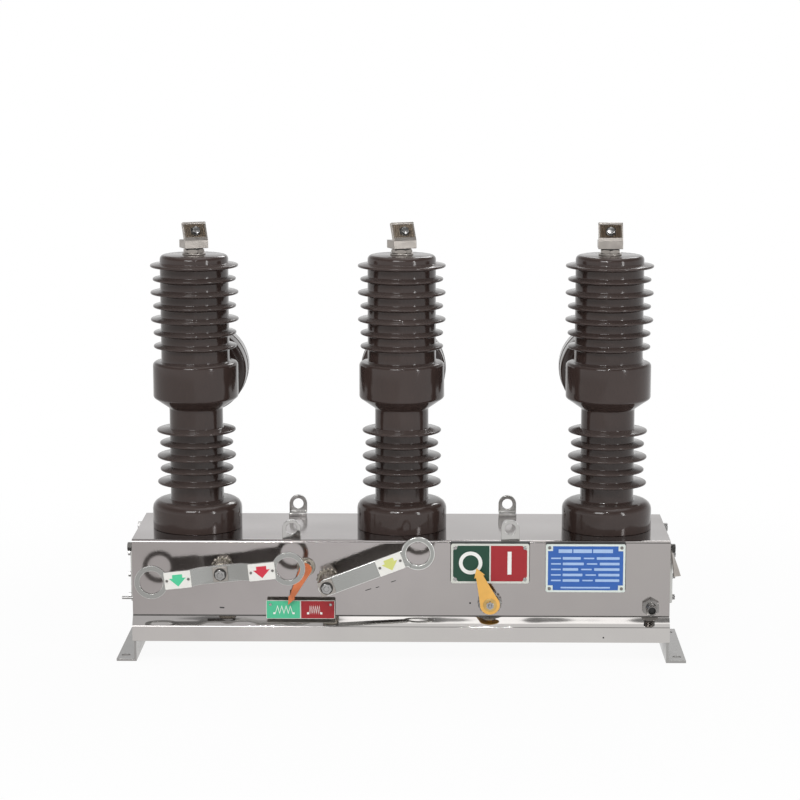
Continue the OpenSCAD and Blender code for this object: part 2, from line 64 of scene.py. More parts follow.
class Value:
    """A socket of a material's nodes. Python's operators on it add Math nodes."""

    def __init__(self, tree, socket):
        self.tree = tree
        self.socket = socket

    def add(self, kind, settings=None, inputs=None, out=0):
        """Adds a node of any kind: its settings are set first, then the values or links of its sockets."""
        node = self.tree.nodes.new(kind)
        for name, value in (settings or {}).items():
            setattr(node, name, value)
        for name, value in (inputs or {}).items():
            if isinstance(value, Value):
                self.tree.links.new(value.socket, node.inputs[name])
            else:
                node.inputs[name].default_value = value
        return Value(self.tree, node.outputs[out])

    def maths(self, operation, *others):
        """A Math node on this value and, where it takes more than one, the others."""
        return self.add("ShaderNodeMath", {"operation": operation}, dict(enumerate((self, *others))))

    def __add__(self, other):
        return self.maths("ADD", other)

    def __sub__(self, other):
        return self.maths("SUBTRACT", other)

    def __mul__(self, other):
        return self.maths("MULTIPLY", other)

    __radd__ = __add__
    __rmul__ = __mul__

    def __rsub__(self, other):
        return self.add("ShaderNodeMath", {"operation": "SUBTRACT"}, {0: other, 1: self})

    def limited(self):
        """The value, kept between 0 and 1."""
        return self.add("ShaderNodeClamp", None, {"Value": self})

    def step(self, low, high):
        """0 below low, 1 above high, and a smooth rise between them."""
        return self.add("ShaderNodeMapRange", {"interpolation_type": "SMOOTHSTEP"},
                        {"Value": self, "From Min": low, "From Max": high})

    def blend(self, first, second):
        """The first colour where this value is 0, and the second where it is 1."""
        return self.add("ShaderNodeMix", {"data_type": "RGBA"}, {0: self, 6: first, 7: second}, 2)

    def noise(self, scale, detail=2.0, roughness=0.5):
        """Noise over this vector, about 0.5, with features 1 / scale metres across."""
        return self.add("ShaderNodeTexNoise", None,
                        {"Vector": self, "Scale": scale, "Detail": detail, "Roughness": roughness})

    def stretched(self, x, y, z):
        """This vector with each axis scaled, so that noise on it makes streaks."""
        return self.add("ShaderNodeVectorMath", {"operation": "MULTIPLY"}, {0: self, 1: (x, y, z)})

    def part(self, letter):
        """One coordinate of this vector."""
        return self.add("ShaderNodeSeparateXYZ", None, {0: self}, "XYZ".index(letter))


def ray_kinds(tree):
    """Two values that are 1 for the camera's own rays and for those that glossy surfaces send on."""
    path = tree.nodes.new("ShaderNodeLightPath")
    glossy = Value(tree, path.outputs["Is Glossy Ray"]) + Value(tree, path.outputs["Is Transmission Ray"])
    return Value(tree, path.outputs["Is Camera Ray"]), glossy.limited()


world = bpy.data.worlds.new("studio")
world.use_nodes = True
bpy.context.scene.world = world
sky = world.node_tree
room = sky.nodes["Background"]
room.inputs["Color"].default_value = (1, 1, 1, 1)
room_light = 0.62
ceiling_light = 0.22
skylight_extra = 0.8
beam_wave, beam_phase = 140, 1.85
beam_rise, beam_taper = 0.926, 38
by_camera, by_metal = ray_kinds(sky)
heading = Value(sky, sky.nodes.new("ShaderNodeTexCoord").outputs["Generated"])
rise = heading.part("Z")
right_side = heading.part("X").step(-0.05, -0.03)
across = heading.part("X") * beam_wave + beam_phase
beams = (across.maths("SINE") - (rise - beam_rise).maths("ABSOLUTE") * beam_taper).step(-0.10, 0.10)
overhead = rise.step(0.80, 0.85) * (1 - beams) * (right_side * 0.45 + 0.55)
skylight = rise.step(0.885, 0.897) * (1 - rise.step(0.97, 0.985)) * (1 - beams) * right_side
walls = (1 - rise.step(0.06, 0.60)) + overhead
mirrored = walls.limited() * (1 - ceiling_light) + ceiling_light + skylight * skylight_extra
plain = (1 - by_camera) * (1 - by_metal) * room_light
strength = by_camera + by_metal * mirrored + plain
sky.links.new(strength.socket, room.inputs["Strength"])

floor_reach = 9.0
floor_mesh = bpy.data.meshes.new("floor")
floor_mesh.from_pydata([(-floor_reach, -floor_reach, 0), (floor_reach, -floor_reach, 0),
                        (floor_reach, floor_reach, 0), (-floor_reach, floor_reach, 0)], [], [(0, 1, 2, 3)])
floor = bpy.data.objects.new("floor", floor_mesh)
bpy.context.scene.collection.objects.link(floor)
floor_paint = bpy.data.materials.new("floor")
floor_paint.use_nodes = True
tree = floor_paint.node_tree
matt = tree.nodes["Principled BSDF"]
matt.inputs["Base Color"].default_value = (0.80, 0.80, 0.80, 1)
matt.inputs["Roughness"].default_value = 0.9
matt.inputs["Specular IOR Level"].default_value = 0.1
place = Value(tree, tree.nodes.new("ShaderNodeTexCoord").outputs["Object"])
distance = place.add("ShaderNodeVectorMath", {"operation": "LENGTH"}, {0: place}, 1)
seen_by_camera, seen_in_metal = ray_kinds(tree)
near_white = 0.94
white_share = (seen_by_camera + seen_in_metal) * (distance.step(0.6, 1.5) * (1 - near_white) + near_white)
grey_card = seen_in_metal * (1 - place.part("X").step(-0.6, 0.05))
glow = place.add("ShaderNodeEmission", None, {
    "Color": grey_card.blend((1, 1, 1, 1), (0.80, 0.79, 0.78, 1)), "Strength": 1.0})
both = place.add("ShaderNodeMixShader", None,
                 {0: white_share, 1: Value(tree, matt.outputs[0]), 2: glow})
tree.links.new(both.socket, tree.nodes["Material Output"].inputs["Surface"])
floor_mesh.materials.append(floor_paint)


def lamp(name, where, aim, width, height, watts):
    """A soft rectangular lamp that faces the point aim."""
    light = bpy.data.lights.new(name, "AREA")
    light.shape = "RECTANGLE"
    light.size = width
    light.size_y = height
    light.energy = watts
    holder = bpy.data.objects.new(name, light)
    holder.location = where
    holder.rotation_euler = (Vector(aim) - Vector(where)).to_track_quat("-Z", "Y").to_euler()
    bpy.context.scene.collection.objects.link(holder)


middle = (0, 0, 0.35)
lamp("front_lamp", (-1.2, -3.4, 2.8), middle, 1.6, 1.2, 52)
lamp("side_softbox", (2.6, -2.6, 1.5), middle, 0.35, 1.8, 22)
lamp("glint_left", (-0.50, -3.0, 2.7), middle, 0.12, 0.05, 9)
lamp("glint_right", (0.20, -3.0, 2.7), middle, 0.12, 0.05, 9)
lamp("rear_lamp", (0.8, 3.2, 2.6), middle, 1.4, 1.0, 26)

# ---- Poles ----
# Each pole is one casting of dark glossy epoxy resin round its vacuum interrupter, with sheds
# that lengthen the path of leaking current. It is bolted down through the housing's top.
MM = 0.001
top_z = 0.205
pole_xs = {"left": -0.340, "centre": 0.0, "right": 0.340}


def new_material(name):
    """A material with its Principled shader and the piece's own coordinates."""
    material = bpy.data.materials.new(name)
    material.use_nodes = True
    tree = material.node_tree
    return material, tree.nodes["Principled BSDF"], Value(
        tree, tree.nodes.new("ShaderNodeTexCoord").outputs["Object"])


def feed(shader, name, value):
    """Links a value that changes over the surface to one of the shader's sockets."""
    value.tree.links.new(value.socket, shader.inputs[name])


def bump(shader, height, distance, strength=1.0):
    """Raises the surface by the height, which is 0 to 1, times the distance in metres."""
    feed(shader, "Normal", height.add("ShaderNodeBump", None, {
        "Height": height, "Distance": distance, "Strength": strength}))


def resin_material(name, colour, dusty_sheen_colour):
    """Glossy cast resin: slow changes of tone, faint flow marks, and a paler tone where it faces up:
    partly settled dirt, partly a painted sheen of the light from above.
    """
    material, shader, place = new_material(name)
    tone = place.noise(9, 3)
    upward = Value(place.tree, place.tree.nodes.new("ShaderNodeNewGeometry").outputs["Normal"]).part("Z")
    # Painted sheen: faces that point up are blended towards a pale grey, standing in both for settled dirt
    # and for the light that the shed tops catch from above.
    dust_and_top_sheen = upward.step(0.5, 1.0) * place.noise(6, 2).step(0.2, 0.8)
    base = tone.step(0.3, 0.7).blend((*[c * 0.88 for c in colour], 1), (*[c * 1.12 for c in colour], 1))
    feed(shader, "Base Color", (dust_and_top_sheen * 0.35).blend(base, (*dusty_sheen_colour, 1)))
    feed(shader, "Roughness", place.noise(30, 3) * 0.06 + 0.09 + dust_and_top_sheen * 0.08)
    shader.inputs["Specular IOR Level"].default_value = 0.42
    bump(shader, place.noise(16, 1), 0.0010, 0.5)
    return material


resin = resin_material("cast_resin", (0.041, 0.027, 0.0235), (0.21, 0.18, 0.17))


def rounded_profile(corners, steps=4):
    """Corners are (radius, height, rounding) in mm. Each corner becomes an arc that touches both of
    its sides: it starts at the distance rounding * tan(half the turn) and bends evenly between them."""
    points = np.array([c[:2] for c in corners], float)
    path = [points[0]]
    for before, here, after, corner in zip(points, points[1:], points[2:], corners[1:]):
        back = (before - here) / np.linalg.norm(before - here)
        onward = (after - here) / np.linalg.norm(after - here)
        half = np.arccos(np.clip(back @ onward, -1, 1)) / 2
        if corner[2] == 0 or half > 1.55:
            path.append(here)
            continue
        reach = corner[2] / tan(half)
        centre = here + (back + onward) / np.linalg.norm(back + onward) * corner[2] / sin(half)
        start = here + back * reach - centre
        finish = here + onward * reach - centre
        angle = np.arccos(np.clip(start @ finish / corner[2] ** 2, -1, 1))
        for t in np.linspace(0, 1, steps + 1):
            path.append(centre + (sin((1 - t) * angle) * start + sin(t * angle) * finish) / sin(angle))
    path.append(points[-1])
    return np.array(path)


def grid_faces(rows, columns, around):
    """Quads between neighbouring rows and columns of points; around joins the last column to the first."""
    last = columns if around else columns - 1
    row, column = np.meshgrid(np.arange(rows - 1), np.arange(last), indexing="ij")
    beside = (column + 1) % columns
    quads = np.stack([row * columns + column, row * columns + beside,
                      (row + 1) * columns + beside, (row + 1) * columns + column], -1)
    return quads.reshape(-1, 4).tolist()


def revolved(profile, seat, sides=96, wave=None):
    """Each profile point (radius, height), in mm, runs round the seat's Z axis; wave(angle, height)
    adds to the radius. Returns points in metres and quads."""
    angle = np.linspace(0, 2 * pi, sides, endpoint=False)[None, :]
    radius = profile[:, :1] + np.zeros_like(angle)
    height = profile[:, 1:] + np.zeros_like(angle)
    if wave:
        radius = radius + wave(angle, height) * (radius > 0)
    points = np.stack([radius * np.cos(angle), radius * np.sin(angle), height], -1) * MM
    return moved(points.reshape(-1, 3), seat), grid_faces(len(profile), sides, True)


def moved(points, seat):
    """Points carried by the seat's turn and place."""
    turn = np.array(seat.to_3x3())
    return points @ turn.T + np.array(seat.translation)


def add_piece(name, shapes, material, body="breaker", stands_for=(), bevel=0, smooth=35):
    """Joins shapes, each points and faces, into one closed piece that rides on a body. Doubled points
    are merged, normals turned outwards, and edges sharper than the angle smooth stay crisp or bevelled."""
    vertices, faces = [], []
    for points, polygons in shapes:
        faces += [[len(vertices) + i for i in polygon] for polygon in polygons]
        vertices += np.asarray(points).tolist()
    mesh = bpy.data.meshes.new(name)
    mesh.from_pydata(vertices, [], faces)
    return finish_piece(mesh, name, material, body, stands_for, bevel, smooth)


def finish_piece(mesh, name, material, body, stands_for, bevel, smooth=35):
    """Merges doubles, turns normals out, shades smooth up to an angle, bevels, and rides on the body."""
    work = bmesh.new()
    work.from_mesh(mesh)
    bmesh.ops.remove_doubles(work, verts=work.verts, dist=2e-6)
    bmesh.ops.dissolve_degenerate(work, edges=work.edges, dist=1e-7)
    bmesh.ops.recalc_face_normals(work, faces=work.faces)
    work.to_mesh(mesh)
    work.free()
    mesh.materials.clear()
    mesh.materials.append(material)
    mesh.set_sharp_from_angle(angle=radians(smooth))
    piece = bpy.data.objects.new(name, mesh)
    bpy.context.scene.collection.objects.link(piece)
    if bevel:
        rounding = piece.modifiers.new("rounded_edges", "BEVEL")
        rounding.width = bevel * MM
        rounding.segments = 2
        rounding.limit_method = "ANGLE"
        rounding.angle_limit = radians(smooth)
        rounding.harden_normals = True
    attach(piece, body)
    if stands_for:
        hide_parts(*stands_for)
    return piece


def shed(core, rim, height, rim_t=3.5, root_t=8.0):
    """Corners of one shed: a thin cone whose root is filleted and whose rim is round."""
    return [(core, height - root_t / 2, 2.2), (rim, height - rim_t / 2, rim_t * 0.48),
            (rim, height + rim_t / 2, rim_t * 0.48), (core, height + root_t / 2, 2.2)]


pole_h = 454
base_r, base_h = 74, 47
lower_r, lower_sheds, lower_pitch, lowest_shed = 44, 5, 21.7, 77
bulge_r, bulge_low, bulge_high = 70, 219, 278
upper_r, upper_sheds, upper_pitch, top_shed = 56, 7, 22.1, 436.4
pole_corners = [(0, 0, 0), (base_r, 0, 1), (base_r, base_h, 14), (lower_r, base_h, 3)]
for count in range(lower_sheds):
    pole_corners += shed(lower_r, 65 if count % 2 == 0 else 60.5, lowest_shed + count * lower_pitch)
pole_corners += [(lower_r, 201, 5), (bulge_r, bulge_low, 6), (bulge_r, bulge_high, 6),
                 (upper_r, bulge_high, 2.5)]
for count in reversed(range(upper_sheds)):
    pole_corners += shed(upper_r, 72 if count in (0, 2, 4) else 68, top_shed - count * upper_pitch)
pole_corners += [(upper_r, pole_h, 7), (0, pole_h, 0)]
pole_profile = rounded_profile(pole_corners)
arm_z = top_z + 0.240
neck_profile = rounded_profile([(0, 40, 0), (47, 40, 0), (47, 130, 4), (52, 133, 2), (52, 140, 0),
                                (0, 140, 0)])
along_arm = Matrix.Rotation(-pi / 2, 4, "X")
for side, x in pole_xs.items():
    upright = Matrix.Translation((x, 0, top_z))
    backward = Matrix.Translation((x, 0, arm_z)) @ along_arm
    add_piece(f"pole_casting_{side}",
              [revolved(pole_profile, upright), revolved(neck_profile, backward, 72)], resin,
              stands_for=[f"pole_{side}"], smooth=50)

# ---- Current transformers and rear bushings ----
# Behind each pole a resin drum holds the ring core of the current transformer, and a shorter
# shedded bushing carries the conductor on to the rear terminal.
drum_r, seam_r, drum_end = 72, 72.8, 235
drum_profile = rounded_profile([
    (0, 140, 0), (60, 140, 1), (60, 142, 1), (drum_r, 142, 5), (drum_r, 183, 0.6), (seam_r, 184, 0.5),
    (seam_r, 186, 0.5), (drum_r, 187, 0.6), (drum_r, drum_end, 16), (0, drum_end, 0)], 6)
bushing_r, bushing_end = 38, 340
bushing_corners = [(0, drum_end - 1, 0), (46, drum_end - 1, 0), (46, 241, 1.5), (bushing_r, 249, 4)]
for count, rim in enumerate((58, 53, 58)):
    bushing_corners += shed(bushing_r, rim, 265 + count * 22)
bushing_corners += [(bushing_r, bushing_end, 5), (0, bushing_end, 0)]
bushing_profile = rounded_profile(bushing_corners)
for side, x in pole_xs.items():
    backward = Matrix.Translation((x, 0, arm_z)) @ along_arm
    add_piece(f"transformer_drum_{side}", [revolved(drum_profile, backward)], resin,
              stands_for=[f"transformer_{side}"], smooth=50)
    add_piece(f"bushing_casting_{side}", [revolved(bushing_profile, backward)], resin,
              stands_for=[f"bushing_{side}"], smooth=50)

# ---- Housing and base tray ----
# The mechanism housing is folded from polished stainless sheet and welded at its corners. It
# stands in a deeper tray whose sloping shoulder sheds the rain.


def steel_material(name, colour, roughness, wave, brush, along="X", ripple=4.5):
    """Stainless sheet: slow waves that bend its reflections, fine brush lines, and smudged gloss."""
    material, shader, place = new_material(name)
    stretch = {"X": (1.5, 60, 60), "Y": (60, 1.5, 60), "Z": (60, 60, 1.5)}[along]
    lines = place.stretched(*stretch).noise(14, 3, 0.6)
    smudge = place.noise(7, 4, 0.6).step(0.35, 0.75)
    shader.inputs["Metallic"].default_value = 1.0
    bright = (*[c * 1.04 for c in colour], 1)
    greener = (colour[0] * 0.95, colour[1] * 0.96, colour[2] * 0.94, 1)
    clean = place.noise(2.6, 1).step(0.35, 0.65).blend(bright, greener)
    feed(shader, "Base Color", (smudge * 0.5).blend(clean, (*[c * 0.88 for c in colour], 1)))
    feed(shader, "Roughness", (smudge * 0.4 + 0.8 + lines * 0.4) * roughness)
    bump(shader, place.noise(ripple, 1.0) * wave + lines * brush, 0.001)
    return material


polished = steel_material("polished_stainless", (0.405, 0.377, 0.372), 0.10, 2.6, 0.010)
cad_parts["housing"].data.materials.clear()
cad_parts["housing"].data.materials.append(polished)
tray_steel = steel_material("tray_stainless", (0.56, 0.535, 0.525), 0.035, 0.9, 0.002, ripple=7)


def folded_tray(half_len, half_d, lip_d, low, lip_top, high, fold):
    """The tray's cross-section, with an arc at each fold and a slight crown on its sloping strip,
    carried straight from one end to the other."""
    swell = ((half_d + lip_d) / 2 + 0.4, (high + lip_top) / 2 + 0.33, 150)
    corners = [(half_d - 4, high, 0), (half_d, high, 0.4), swell, (lip_d, lip_top, fold),
               (lip_d, low, fold), (0, low, 0)]
    right = rounded_profile(corners, 5)
    section = np.vstack([right, right[::-1][1:] * (-1, 1)])
    along = np.array([-half_len, half_len])
    count = len(section)
    points = np.stack([along[:, None] + 0 * section[:, 0], section[:, 0] + 0 * along[:, None],
                       section[:, 1] + 0 * along[:, None]], -1).reshape(-1, 3) * MM
    caps = [list(range(count)), list(range(count, 2 * count))[::-1]]
    return points, grid_faces(2, count, True) + caps


tray_half, panel_out, lip_out, fold_r = 438, 108, 121, 2.5
foot_h, lip_top, panel_low = 38, 63.5, 79
tray = folded_tray(tray_half, panel_out, lip_out, foot_h, lip_top, panel_low, fold_r)
add_piece("folded_base_tray", [tray], tray_steel, stands_for=["base_tray"], smooth=40)

# A dark bead of sealant along each joint of panel and tray; its dark colour also paints the shadow line
# that falls in that joint.
sealant, sealant_shader, sealant_place = new_material("joint_sealant")
fresh_sealant, dusty_sealant = (0.05, 0.048, 0.045, 1), (0.11, 0.105, 0.10, 1)
feed(sealant_shader, "Base Color", sealant_place.noise(40).blend(fresh_sealant, dusty_sealant))
sealant_shader.inputs["Roughness"].default_value = 0.6
bead_r, bead_half = 1.0, 437.5
bead_profile = rounded_profile([(0, -bead_half, 0), (bead_r, -bead_half, 0.5), (bead_r, bead_half, 0.5),
                                (0, bead_half, 0)])
along_tray = Matrix.Rotation(pi / 2, 4, "Y")
beads = []
for front in (-1, 1):
    joint = Matrix.Translation((0, front * (panel_out + 0.2) * MM, (panel_low + 0.3) * MM))
    beads.append(revolved(bead_profile, joint @ along_tray, 12))
add_piece("tray_joint_sealant_shade", beads, sealant)

# ---- Feet and lifting lugs ----
# The feet are folded from 4 mm stainless plate, left satin, and welded to the tray. The lugs are
# cut from 5 mm plate, polished, and welded to the housing's top.


def rounded_copy(name, node, material, bevel, body="breaker"):
    """A copy of a CAD node: its loose triangles are merged, flat stretches joined, and edges bevelled."""
    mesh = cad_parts[node].data.copy()
    work = bmesh.new()
    work.from_mesh(mesh)
    bmesh.ops.remove_doubles(work, verts=work.verts, dist=1e-5)
    bmesh.ops.dissolve_limit(work, angle_limit=radians(0.6), verts=work.verts, edges=work.edges)
    work.to_mesh(mesh)
    work.free()
    return finish_piece(mesh, name, material, body, [node], bevel)


satin = steel_material("satin_stainless", (0.38, 0.37, 0.365), 0.20, 1.5, 0.04)
for name in ("left_foot", "right_foot"):
    rounded_copy(f"{name}_plate", name, satin, 0.9)
lug_steel = steel_material("lug_stainless", (0.50, 0.49, 0.48), 0.10, 5.0, 0.02, ripple=22)
for name in ("lug_front_left", "lug_front_right", "lug_rear_left", "lug_rear_right"):
    rounded_copy(f"{name}_plate", name, lug_steel, 0.9)

# ---- Terminals ----
# Tinned brass clamps on threaded studs: a hexagon nut and a dark spring washer hold each block,
# and its leaning jaw is serrated, with a bead along its top, to grip the conductor under a bolt.
# The black washers also paint the shade in the gaps under the nuts and round the bolt heads.


def hexagon(flats, height, seat, base=0.0):
    """A hexagon whose radius is half the flats over the cosine of the angle from the nearest flat; a cone
    at 30 degrees takes its corners off, so each flat ends in a curved edge."""
    angle = np.linspace(0, 2 * pi, 72, endpoint=False)
    from_flat = (angle + pi / 6) % (pi / 3) - pi / 6
    radius = flats / 2 / np.cos(from_flat)
    drop = (radius - flats / 2 * 0.97) * tan(radians(30))
    flat_top = flats / 2 * 0.93
    rows = [(0 * radius, 0 * radius), (0 * radius + flats / 2 * 0.95, 0 * radius), (radius, drop * 0.8),
            (radius, height - drop), (0 * radius + flat_top, 0 * radius + height),
            (0 * radius, 0 * radius + height)]
    points = np.stack([np.stack([r * np.cos(angle), r * np.sin(angle), h + base], -1) for r, h in rows])
    return moved(points.reshape(-1, 3) * MM, seat), grid_faces(len(rows), 72, True)


def thread(radius, low, high, seat, pitch=1.5, depth=0.55, tip=1.0):
    """A threaded rod end: its profile is a zigzag of the given pitch and depth, with a chamfered tip."""
    heights = np.arange(low, high - tip, pitch / 2)
    zigzag = radius - depth * (np.arange(len(heights)) % 2)
    profile = np.vstack([[0, low], np.stack([zigzag, heights], -1), [radius - depth, high - tip],
                         [radius - depth - tip * 0.8, high], [0, high]])
    return revolved(profile, seat, 32)


def disc(radius, low, high, seat, edge=0.5, sides=48):
    """A washer or cap: a rounded cylinder from low to high."""
    corners = [(0, low, 0), (radius, low, edge), (radius, high, edge), (0, high, 0)]
    return revolved(rounded_profile(corners, 3), seat, sides)


def plated_material(name, colour, roughness, grain=0.15):
    """Plated metal: a fine crystalline tone, duller patches, and a slightly grainy skin."""
    material, shader, place = new_material(name)
    shader.inputs["Metallic"].default_value = 1.0
    patch = place.noise(70, 3).step(0.3, 0.7)
    feed(shader, "Base Color", patch.blend((*colour, 1), (*[c * 0.86 for c in colour], 1)))
    feed(shader, "Roughness", place.noise(120, 3) * 0.16 + patch * 0.08 + roughness)
    bump(shader, place.noise(300, 2), 0.0001, grain)
    return material


tinned = plated_material("tinned_brass", (0.42, 0.39, 0.36), 0.24, 0.03)
tarnished = plated_material("tarnished_brass", (0.22, 0.185, 0.15), 0.26)
blackened = plated_material("blackened_steel", (0.07, 0.068, 0.065), 0.2)
zinc = plated_material("zinc_plated_steel", (0.40, 0.395, 0.39), 0.11)
block_turn = {"left": radians(24), "centre": radians(24), "right": 0}
jaw_lean = radians(24)
block_d, block_h, jaw_h, jaw_t = 30, 13, 32, 6
clamp_base = 11
stud_r, washer_t, nut_h = 8, 3, 6.6


def slab(outline, low, high, seat):
    """A flat shape: the outline's points, in mm, at both levels, two caps and a wall between them."""
    count = len(outline)
    points = np.vstack([np.column_stack([outline, np.full(count, level)]) for level in (low, high)])
    caps = [list(range(count))[::-1], list(range(count, 2 * count))]
    return moved(points * MM, seat), grid_faces(2, count, True) + caps


def serrations(seat, half_width=18.0, ribs=9, low=6.0, high=27.5, height=2.0, sunk=1.2):
    """A ribbed pad on the jaw's face: a triangle wave across it, closed by a flat back inside the jaw."""
    across = np.linspace(-half_width, half_width, 2 * ribs + 1)
    ridges = np.column_stack([across, -0.3 - (np.arange(2 * ribs + 1) % 2) * height])
    return slab(np.vstack([ridges, [(half_width, sunk), (-half_width, sunk)]]), low, high, seat)


def lip_bead(seat, radius=2.6, half=19.4, up=29.6, sides=24):
    """A round bead along the jaw's top edge: a half-sunk rod with rounded ends."""
    across = seat @ Matrix.Translation((0, 0.6 * MM, up * MM)) @ Matrix.Rotation(pi / 2, 4, "Y")
    corners = [(0, -half, 0), (radius, -half, 1.2), (radius, half, 1.2), (0, half, 0)]
    return revolved(rounded_profile(corners), across, sides)


for side, x in pole_xs.items():
    turned_block = Matrix.Rotation(block_turn[side], 4, "Z")
    ends = {"top": Matrix.Translation((x, 0, top_z + pole_h * MM)) @ turned_block,
            "rear": Matrix.Translation((x, bushing_end * MM, arm_z)) @ along_arm}
    for end, seat in ends.items():
        jaw = seat @ Matrix.Translation((0, -block_d / 2 * MM, (clamp_base + block_h) * MM))
        jaw = jaw @ Matrix.Rotation(-jaw_lean, 4, "X")
        bolt_up = jaw_h / 2 * MM
        through = jaw @ Matrix.Translation((0, 0, bolt_up)) @ Matrix.Rotation(pi / 2, 4, "X")
        behind = jaw @ Matrix.Translation((0, jaw_t * MM, bolt_up)) @ Matrix.Rotation(-pi / 2, 4, "X")
        rounded_copy(f"{end}_clamp_body_{side}", f"{end}_clamp_{side}", tinned, 0.8)
        add_piece(f"{end}_jaw_serrations_{side}", [serrations(jaw)], tarnished,
                  smooth=20)
        add_piece(f"{end}_jaw_lip_{side}", [lip_bead(jaw)], tinned)
        add_piece(f"{end}_jaw_bolt_{side}",
                  [hexagon(11, 5.5, through, 2.0), disc(7, 0, 1.4, behind), hexagon(11, 4.5, behind, 1.3),
                   thread(3.8, 5, 11, behind)], zinc)
        # Painted shade: the black washer under the bolt's head stands in for the ring of shade round it.
        add_piece(f"{end}_jaw_shade_washer_{side}", [disc(8, 0, 2.1, through)], blackened)
        add_piece(f"{end}_stud_set_{side}",
                  [disc(19, 0, washer_t, seat, 0.7, 64), hexagon(30, nut_h, seat, washer_t),
                   thread(stud_r, 8, clamp_base + block_h, seat, 2.0, 0.8)],
                  tinned, stands_for=[f"{end}_stud_{side}"])
        # Painted shade: a black spring washer between nut and block, whose colour stands in for the shade
        # in that gap.
        stud_shade_washer = disc(15.5, 9.2, clamp_base + 0.4, seat, 0.3, 64)
        add_piece(f"{end}_stud_shade_washer_{side}", [stud_shade_washer], blackened)

# ---- Operating levers ----
# The rocking lever opens and closes the breaker from the ground by a hook in either ring, and the
# other lever charges the closing spring. Both are laser-cut plate on turned shafts.
lever_steel = steel_material("lever_steel", (0.37, 0.372, 0.36), 0.24, 1.0, 0.05)
# Painted highlight: the bevels of the lever bars get a copy of the steel about twice as light, for the
# bright outlines that their edges catch; rubbed edges are a little shinier as well.
worn_edge_highlight = steel_material("worn_steel_edge_highlight", (0.80, 0.80, 0.78), 0.14, 0.5, 0.01)
for name, node, body in (("open_close_bar", "open_close_lever", "open_close"),
                         ("charging_bar", "charging_lever", "charging")):
    bar = rounded_copy(name, node, lever_steel, 1.3, body)
    bar.data.materials.append(worn_edge_highlight)
    bar.modifiers["rounded_edges"].material = 1
panel_y = -panel_out * MM


def on_panel(x, z, out=0.0, tilt=0.0):
    """A seat on the front panel: its Z axis points out of the panel, X along it, tilted in degrees."""
    return (Matrix.Translation((x * MM, panel_y - out * MM, z * MM)) @ Matrix.Rotation(pi / 2, 4, "X")
            @ Matrix.Rotation(radians(tilt), 4, "Z"))


rocker = {"x": -290, "z": 159, "tilt": 6, "gap": 40, "body": "open_close"}
charger = {"x": -118, "z": 140, "tilt": 21, "gap": 52, "body": "charging"}
shaft_r, shoulder_r, shoulder_len, sunk_in = 9, 13, 6, 10
square_corners = np.array([(-12, -12), (12, -12), (12, 12), (-12, 12)])
for name, hub in (("open_close", rocker), ("charging", charger)):
    seat = on_panel(hub["x"], hub["z"], hub["gap"], hub["tilt"])
    inner_end = -hub["gap"] - sunk_in
    profile = rounded_profile([(0, inner_end, 0), (shaft_r, inner_end, 0), (shaft_r, -shoulder_len, 0),
                               (shoulder_r, -shoulder_len, 0.8), (shoulder_r, 0, 0.4), (0, 0, 0)])
    shaft = revolved(profile, seat, 48)
    add_piece(f"{name}_shaft_set",
              [shaft, hexagon(15, 5.6, seat, 10.4), thread(5.2, 12, 17, seat)],
              zinc, hub["body"], [f"{name}_shaft"])
    # Painted shade: the black spring washer under the nut stands in for the shade in the gap there.
    add_piece(f"{name}_spring_shade_washer", [disc(10.2, 8.6, 10.6, seat, 0.5)], blackened, hub["body"])
    add_piece(f"{name}_square_washer", [slab(square_corners, 6, 9, seat)], tinned, hub["body"], bevel=0.6)

# ---- Shaft bosses ----
# Turned steel bushings on the panel: each lever's has a beaded flange with three screws and a
# knurled barrel. The two pointers' are plain, with a beaded ring round the position pointer's.
pipe_steel = plated_material("pipe_steel", (0.26, 0.25, 0.24), 0.12)
turned = plated_material("turned_steel", (0.36, 0.33, 0.285), 0.10)


def knurl(angle, height):
    """Crossed grooves on the barrel, from two waves that climb round it in opposite directions, and
    a beaded rim on the flange below it."""
    lift = np.sin(10 * angle + height * 0.62) * np.sin(10 * angle - height * 0.62)
    beads = np.abs(np.cos(8 * angle)) * 2.8 - 2.4
    return np.clip(lift, -0.9, 0.6) * 1.2 * ((height > 6) & (height < 31)) + beads * (height < 4.5)


barrel_r, flange_r, flange_t, screw_circle = 14, 19, 4, 16.5
position_shaft, charge_shaft = (145, 103), (-154, 161)
boss_shapes = []
for hub in (rocker, charger):
    seat = on_panel(hub["x"], hub["z"])
    length = hub["gap"] - 8
    levels = np.linspace(5.5, length - 1.2, 56)
    barrel = np.column_stack([np.full(len(levels), barrel_r), levels])
    profile = np.vstack([[0, 0], [flange_r, 0], [flange_r, flange_t - 0.6], [flange_r - 0.6, flange_t],
                         [barrel_r, flange_t], barrel, [barrel_r - 1, length], [shaft_r + 0.1, length],
                         [shaft_r + 0.1, length - 3], [0, length - 3]])
    boss_shapes.append(revolved(profile, seat, 176, knurl))
    for angle in (90, 210, 330):
        around = Matrix.Rotation(radians(angle), 4, "Z")
        screw = seat @ around @ Matrix.Translation((screw_circle * MM, 0, 0))
        boss_shapes.append(disc(2.3, flange_t - 0.4, flange_t + 1.4, screw, 0.8, 20))
pin_profile = rounded_profile([(0, 0, 0), (15, 0, 0), (15, 4, 0.6), (10, 4, 0.6), (10, 14, 0.8),
                               (4.1, 14, 0), (4.1, 12, 0), (0, 12, 0)])
for shaft_place in (position_shaft, charge_shaft):
    boss_shapes.append(revolved(pin_profile, on_panel(*shaft_place), 48))
ring_profile = rounded_profile([(0, 0, 0), (19.5, 0, 0), (19.5, 7, 1.2), (14, 7.5, 0.5), (14, 3, 0),
                                (0, 3, 0)])
